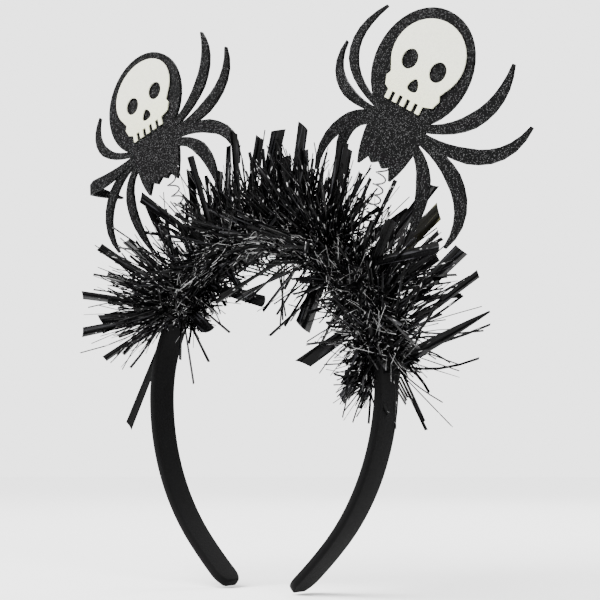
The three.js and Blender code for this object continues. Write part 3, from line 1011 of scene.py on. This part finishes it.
class HEADBAND_OT_springs(bpy.types.Operator):
    """Coil springs, wound close at the band and open at the spider"""

    bl_idname = "headband.springs"
    bl_label = "Springs"

    def execute(self, context):
        look = context.scene.headband.spring
        wire = wire_finish(look)
        for side, row in SPIDERS.items():
            axis = self.axis(look, row)
            spring = self.wind(context, look, f"coil_{side}", axis)
            finish_piece(spring, wire, smooth=math.radians(70))
            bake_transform(spring)
            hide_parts(f"spring_{side}")
        return {"FINISHED"}

    def axis(self, look, row):
        """Points of the spring's middle line, evenly along it."""
        point, out, _ = at_degrees(row["foot"])
        start = point + out * (CROWN_HEIGHT + SEAT_GAP + look.wire)
        turn = Matrix.Rotation(math.radians(row["lean"]), 3, "Y")
        across, up = row["top"]
        behind = look.radius + look.wire + SEAT_GAP
        end = np.array(turn @ Vector((across * MM, behind, up * MM)))
        end = end + np.array(row["waist"]) * MM
        upwards = np.array(turn @ Vector(UP))
        share = np.linspace(0, 1, LINE_POINTS)[:, None]
        controls = (start, start + out * look.reach, end - upwards * look.reach, end)
        rest = 1 - share
        weights = (rest**3, 3 * share * rest**2, 3 * share**2 * rest, share**3)
        line = sum(weight * control for weight, control in zip(weights, controls))
        steps = np.linalg.norm(np.diff(line, axis=0), axis=1)
        run = np.concatenate([[0], np.cumsum(steps)])
        even = np.linspace(0, run[-1], look.turns * look.steps + 1)
        return np.stack([np.interp(even, run, line[:, k]) for k in range(3)], 1)

    def wind(self, context, look, name, axis):
        tangent = np.gradient(axis, axis=0)
        tangent /= np.linalg.norm(tangent, axis=1)[:, None]
        sideways = np.cross(tangent, FRONT)
        sideways /= np.linalg.norm(sideways, axis=1)[:, None]
        forwards = np.cross(sideways, tangent)
        share = np.linspace(0, 1, len(axis))
        wound = share + look.tightness * share * (1 - share)
        turn = (2 * math.pi * look.turns * wound)[:, None]
        coil = axis + look.radius * (np.cos(turn) * sideways + np.sin(turn) * forwards)
        curve = bpy.data.curves.new(name, "CURVE")
        curve.dimensions = "3D"
        curve.bevel_depth = look.wire
        curve.bevel_resolution = 1
        curve.use_fill_caps = True
        line = curve.splines.new("POLY")
        line.points.add(len(coil) - 1)
        line.points.foreach_set("co", np.column_stack([coil, np.ones(len(coil))]).ravel())
        spring = bpy.data.objects.new(name, curve)
        context.collection.objects.link(spring)
        pick(spring)
        bpy.ops.object.convert(target="MESH")
        return context.active_object


class HEADBAND_OT_sleeve(bpy.types.Operator):
    """The tinsel's dense middle, a crumpled sleeve round the band"""

    bl_idname = "headband.sleeve"
    bl_label = "Tinsel sleeve"

    def execute(self, context):
        look = context.scene.headband.tinsel
        sleeve = self.section(context, look)
        edit_all()
        bpy.ops.mesh.spin(
            steps=SLEEVE["steps"],
            angle=math.radians(CORE["to"] - CORE["from"]),
            center=ARCH_CENTRE,
            axis=tuple(FRONT),
        )
        face_outwards()
        self.taper(sleeve, look)
        self.crumple(sleeve)
        finish_piece(sleeve, sleeve_finish(look))
        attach(sleeve, "headband")
        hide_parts("tinsel_garland")
        return {"FINISHED"}

    def section(self, context, look):
        """The sleeve's section at one end, square to the arch."""
        deselect()
        point, out, _ = at_degrees(CORE["from"])
        point = point + out * look.sleeve_lift
        bpy.ops.mesh.primitive_circle_add(
            vertices=SLEEVE["sides"],
            radius=1,
            fill_type="NGON",
            location=tuple(point),
            rotation=(0, math.pi / 2, 0),
        )
        sleeve = context.active_object
        sleeve.name = "tinsel_sleeve"
        sleeve.data.name = sleeve.name
        bpy.ops.object.transform_apply(location=True, rotation=True, scale=True)
        edit_all()
        half_width = CORE["half_width"] * SLEEVE["share"]
        half_thick = CORE["half_thick"] * SLEEVE["share"] - look.sleeve_lift / 2
        bpy.ops.transform.resize(value=(1, half_width, half_thick), center_override=tuple(point))
        bpy.ops.object.mode_set(mode="OBJECT")
        sleeve.data.transform(
            Matrix.Translation(Vector(point))
            @ Matrix.Rotation(math.radians(CORE["from"]), 4, "Y")
            @ Matrix.Translation(-Vector(point))
        )
        return sleeve

    def taper(self, sleeve, look):
        """Draws the last degrees of the sleeve in towards the band, step by step."""
        middle = (CORE["from"] + CORE["to"]) / 2
        arms = [vertex.co - Vector(ARCH_CENTRE) for vertex in sleeve.data.vertices]
        turned = [math.degrees(math.atan2(arm.x, arm.z)) for arm in arms]
        for end in (CORE["from"], CORE["to"]):
            side = math.copysign(1, end - middle)
            centre = tuple(at_degrees(end)[0])
            for step in range(look.taper_steps, 0, -1):
                start = end - side * step * look.taper / look.taper_steps
                choose(sleeve, [(place - start) * side > 0 for place in turned])
                bpy.ops.transform.resize(value=SLEEVE["narrowing"], center_override=centre)
                bpy.ops.object.mode_set(mode="OBJECT")

    def crumple(self, sleeve):
        clouds = bpy.data.textures.new("crumple", "CLOUDS")
        clouds.noise_scale = CRUMPLE["size"]
        clouds.noise_depth = CRUMPLE["depth"]
        displace = sleeve.modifiers.new("crumple", "DISPLACE")
        displace.texture = clouds
        displace.strength = CRUMPLE["height"]
        displace.mid_level = CRUMPLE["level"]
        bpy.ops.object.modifier_apply(modifier=displace.name)


class HEADBAND_OT_foil(bpy.types.Operator):
    """Wide foil strips and fine strands standing out of the sleeve"""

    bl_idname = "headband.foil"
    bl_label = "Tinsel strips and strands"

    def execute(self, context):
        look = context.scene.headband.tinsel
        draw = np.random.default_rng(look.seed)
        spiders = swept_spiders()
        black = foil_finish("black_foil", look.colour, look)
        broad = foil_finish("broad_foil", look.colour, look, look.calm)
        olive = foil_finish("olive_foil", look.olive, look, look.calm)
        bright = painted_glint_finish(look)
        rows = self.slit(LONG_STRIPS + TUFTS + self.fill_rows(draw)) + LONE_STRIPS
        rows += self.lying_rows(draw, look.crumpled, CRUMPLED) + FRONT_STRIPS
        plain_rows = [row for row in rows if "olive" not in row]
        olive_rows = [row for row in rows if "olive" in row]
        self.strips("tinsel_strips", plain_rows, look, draw, broad)
        self.strips("olive_strips", olive_rows, look, draw, olive)
        rows = self.strand_rows(look, draw)
        self.strands("tinsel_strands", rows, look, draw, spiders, black)
        rows = self.lying_rows(draw, look.short_strands, SHORT, look.shortest, look.width)
        self.strands("short_strands", rows, look, draw, spiders, black)
        # Thin strands in a light finish: painted glints over the black tinsel
        rows = self.lying_rows(draw, look.glints, PAINTED_GLINT_STRANDS, look.shortest, look.width)
        self.strands("bright_strands", rows, look, draw, spiders, bright)
        return {"FINISHED"}

    def slit(self, rows):
        """The rows, where some strips are slit into slivers that fan a little."""
        slit_rows = []
        for row in rows:
            count = row.get("slivers", 1)
            for k in range(count):
                aside = k - (count - 1) / 2
                sliver = {
                    "at": row["at"] + SLIVER["apart"] * aside,
                    "lean": row["lean"] - SLIVER["fan"] * aside,
                    "width": row["width"] / count ** SLIVER["sharing"],
                }
                slit_rows.append({**row, **sliver})
        return slit_rows

    def fill_rows(self, draw):
        """Strips between the long ones, in golden-ratio steps and turned aside from the springs."""
        rows = []
        for k in range(FILL["count"]):
            at = CORE["from"] + (CORE["to"] - CORE["from"]) * (k + 0.5) / FILL["count"]
            near = any(abs(at - row["foot"]) < FILL["spring_room"] for row in SPIDERS.values())
            spin = 360 * ((k * GOLDEN) % 1)
            around = 90 + spin / 2 if near else spin
            outward = math.cos(math.radians(around))
            farthest = FILL["out"] if outward > 0 else FILL["in"]
            length = FILL["side"] + (farthest - FILL["side"]) * abs(outward)
            if at < OVER_HEAD[1]:
                length *= 1 - FILL["inward_cut"] * max(0.0, -outward)
            lean = FILL["lean"] * math.sin(k * FILL["lean_step"])
            width = FILL["width"] * draw.uniform(*FILL["width_shares"])
            rows.append(strip(at, around, lean, length, width, slivers=FILL["slivers"]))
        return rows

    def strand_rows(self, look, draw):
        """Strands, most in company with a wide strip, with lengths and widths in metres."""
        rows = []
        # The first long strip hangs alone, and a thicket leads three times as many as a strip
        leaders = LONG_STRIPS[1:] + TUFTS + THICKETS * 3
        low, high = CORE["from"] + STRAND["margins"][0], CORE["to"] + STRAND["margins"][1]
        for _ in range(look.strands):
            if draw.random() < look.company:
                leader = leaders[draw.integers(len(leaders))]
                at = leader["at"] + draw.normal(0, STRAND["strays_along"])
                around = leader["around"] + draw.normal(0, STRAND["strays_aside"])
                lean = leader["lean"] + draw.normal(0, STRAND["strays_aside"])
                length = leader["length"] * MM * draw.uniform(*STRAND["lengths"])
            else:
                at = draw.uniform(CORE["from"], CORE["to"])
                around = draw.uniform(0, 360)
                lean = draw.normal(0, STRAND["loose_lean"])
                length = look.shortest + (look.longest - look.shortest) * draw.random()
                inward = max(0.0, -math.cos(math.radians(around)))
                length *= 1 - STRAND["inward_cut"] * inward
            at = min(max(at, low), high)
            width = look.width * self.strand_share(draw)
            if draw.random() <= self.share_kept(at, around):
                rows.append(strip(at, around, lean, length, width))
        return rows

    def strand_share(self, draw):
        """A strand's share of the usual width, where wide ones are rare."""
        return STRAND["narrowest"] + STRAND["widening"] * draw.random() ** STRAND["rarity"]

    def share_kept(self, at, around):
        """The share of fine strands that stay at a place on the garland."""
        kept = 1.0
        for zone in SPARSE:
            low, high = zone["around"]
            if zone["at"][0] < at < zone["at"][1] and (around - low) % 360 < high - low:
                kept = min(kept, zone["keep"])
        return kept

    def lying_rows(self, draw, count, ranges, length=1.0, width=1.0):
        """Strips or strands that lie over the sleeve, each sized within ranges."""
        rows = []
        for _ in range(count):
            row = self.lying(draw)
            row["length"] = length * draw.uniform(*ranges["length"])
            if "width" in ranges:
                row["width"] = width * draw.uniform(*ranges["width"])
            else:
                row["width"] = width * self.strand_share(draw)
            row["lift"] = draw.uniform(*ranges["lift"]) * MM
            rows.append(row)
        return rows

    def lying(self, draw):
        """A place on the sleeve and a way to lie there, along the arch over the head."""
        at = draw.uniform(CORE["from"] + LYING["margin"], CORE["to"] - LYING["margin"])
        over_head = OVER_HEAD[0] < at < OVER_HEAD[1]
        around = draw.uniform(*LYING["around_over_head" if over_head else "around"])
        roll = draw.uniform(0, 360)
        lean = draw.uniform(*LYING["lean"])
        if over_head and around > LYING["front_side"]:
            roll = draw.choice((0, 180)) + draw.normal(0, LYING["roll_spread"])
            lean = draw.uniform(*LYING["lean_along"])
        return {"at": at, "around": around, "lean": lean, "roll": roll}

    def frame_of(self, row):
        """Root, course, across and through of a strip. A roll turns its lean off the arch."""
        point, out, along = at_degrees(row["at"])
        turn, slope, roll = (math.radians(row.get(key, 0)) for key in ("around", "lean", "roll"))
        away = out * math.cos(turn) + FRONT * math.sin(turn)
        beside = FRONT * math.cos(turn) - out * math.sin(turn)
        slant = along * math.cos(roll) + beside * math.sin(roll)
        half_thick, half_width = CORE["half_thick"], CORE["half_width"]
        reach = math.hypot(half_thick * math.cos(turn), half_width * math.sin(turn))
        root = point + away * (reach - CORE["root_depth"] + row.get("lift", 0))
        course = away * math.cos(slope) + slant * math.sin(slope)
        across = np.cross(course, FACING)
        if np.linalg.norm(across) < EDGE_ON:
            across = np.cross(course, UP)
        across /= np.linalg.norm(across)
        return root, course, across, np.cross(course, across)

    def strips(self, name, rows, look, draw, material):
        """Wide strips, each curled a little across, bent along and cut aslant at its end."""
        share = np.linspace(0, 1, STRIP["rings"])[:, None]
        paths, acrosses, throughs = [], [], []
        for k, row in enumerate(rows):
            root, course, across, through = self.frame_of(row)
            length, width = row["length"] * MM, row["width"] * MM
            loose = row.get("twist", 1)
            bend = draw.normal(0, STRIP["bend"]) * loose if loose else 0.0
            twist = (draw.normal(0, STRIP["twist"]) * loose if loose else 0.0) * share
            paths.append(root + course * length * share + through * (bend * length * share**2))
            wide = width * (STRIP["root"] + STRIP["widening"] * share) / 2
            if "point" in row:
                wide = width * (1 - (1 - row["point"]) * share**2) / 2
            slant = look.slant * (2 * (k * GOLDEN % 1) - 1)
            flat = (across * np.cos(twist) + through * np.sin(twist)) * wide
            flat[-1] += course * slant * wide[-1]
            acrosses.append(flat)
            throughs.append((through * np.cos(twist) - across * np.sin(twist)) * wide)
        bow = np.linspace(-1, 1, STRIP["points"])
        curl = STRIP["curl"] * (1 - bow**2)
        top = np.column_stack([bow, curl + STRIP["half"]])
        underside = np.column_stack([bow, curl - STRIP["half"]])
        cut = np.concatenate([top, underside[::-1]])
        self.stand(name, paths, acrosses, throughs, cut, material)

    def strands(self, name, rows, look, draw, spiders, material):
        """Fine strands, left out where a spider would reach them."""
        share = np.linspace(0, 1, STRAND["rings"])[:, None]
        probes = np.linspace(STRAND["first_probe"], 1, STRAND["probes"])[:, None]
        paths, acrosses, throughs = [], [], []
        for row in rows:
            root, course, across, through = self.frame_of(row)
            length, half = row["length"], row["width"] / 2
            swing = draw.normal(0, STRAND["swing"])
            spin = draw.uniform(0, math.pi)
            turned = spin + draw.normal(0, STRAND["twist"]) * share
            sideways = across * math.cos(spin) + through * math.sin(spin)
            path, tested = (
                root + course * length * part + sideways * (swing * length * part**2)
                for part in (share, probes)
            )
            if not clear_of(spiders, tested, look.room):
                continue
            paths.append(path)
            acrosses.append((across * np.cos(turned) + through * np.sin(turned)) * half)
            throughs.append((through * np.cos(turned) - across * np.sin(turned)) * half)
        self.stand(name, paths, acrosses, throughs, STRAND_CUT, material)

    def stand(self, name, paths, acrosses, throughs, cut, material):
        """One piece of many ribbons, which rides on the band."""
        piece = ribbons(name, np.array(paths), np.array(acrosses), np.array(throughs), cut)
        pick(piece)
        edit_all()
        face_outwards()
        finish_piece(piece, material, smooth=math.radians(40))
        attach(piece, "headband")


class HEADBAND_PT_sidebar(bpy.types.Panel):
    """The headband's pieces, in the order they are made"""

    bl_idname = "HEADBAND_PT_sidebar"
    bl_label = "Spider headband"
    bl_space_type = "VIEW_3D"
    bl_region_type = "UI"
    bl_category = "Headband"

    def draw(self, context):
        for operator in OPERATORS:
            self.layout.operator(operator.bl_idname)
        settings = context.scene.headband
        for part in ("band", "black", "ivory", "spring", "tinsel", "stage"):
            group = getattr(settings, part)
            column = self.layout.column(align=True)
            for name in group.bl_rna.properties.keys():
                if name not in ("rna_type", "name"):
                    column.prop(group, name)


OPERATORS = (
    HEADBAND_OT_stage,
    HEADBAND_OT_band,
    HEADBAND_OT_spiders,
    HEADBAND_OT_springs,
    HEADBAND_OT_sleeve,
    HEADBAND_OT_foil,
)
CLASSES = (
    BandLook,
    GlitterLook,
    IvoryLook,
    SpringLook,
    TinselLook,
    StageLook,
    HeadbandSettings,
    *OPERATORS,
    HEADBAND_PT_sidebar,
)


def register():
    for made in CLASSES:
        bpy.utils.register_class(made)
    bpy.types.Scene.headband = PointerProperty(type=HeadbandSettings)


def unregister():
    del bpy.types.Scene.headband
    for made in reversed(CLASSES):
        bpy.utils.unregister_class(made)


def main():
    register()
    bpy.ops.headband.stage()
    bpy.ops.headband.band()
    bpy.ops.headband.spiders()
    bpy.ops.headband.springs()
    bpy.ops.headband.sleeve()
    bpy.ops.headband.foil()


if __name__ == "__main__":
    main()
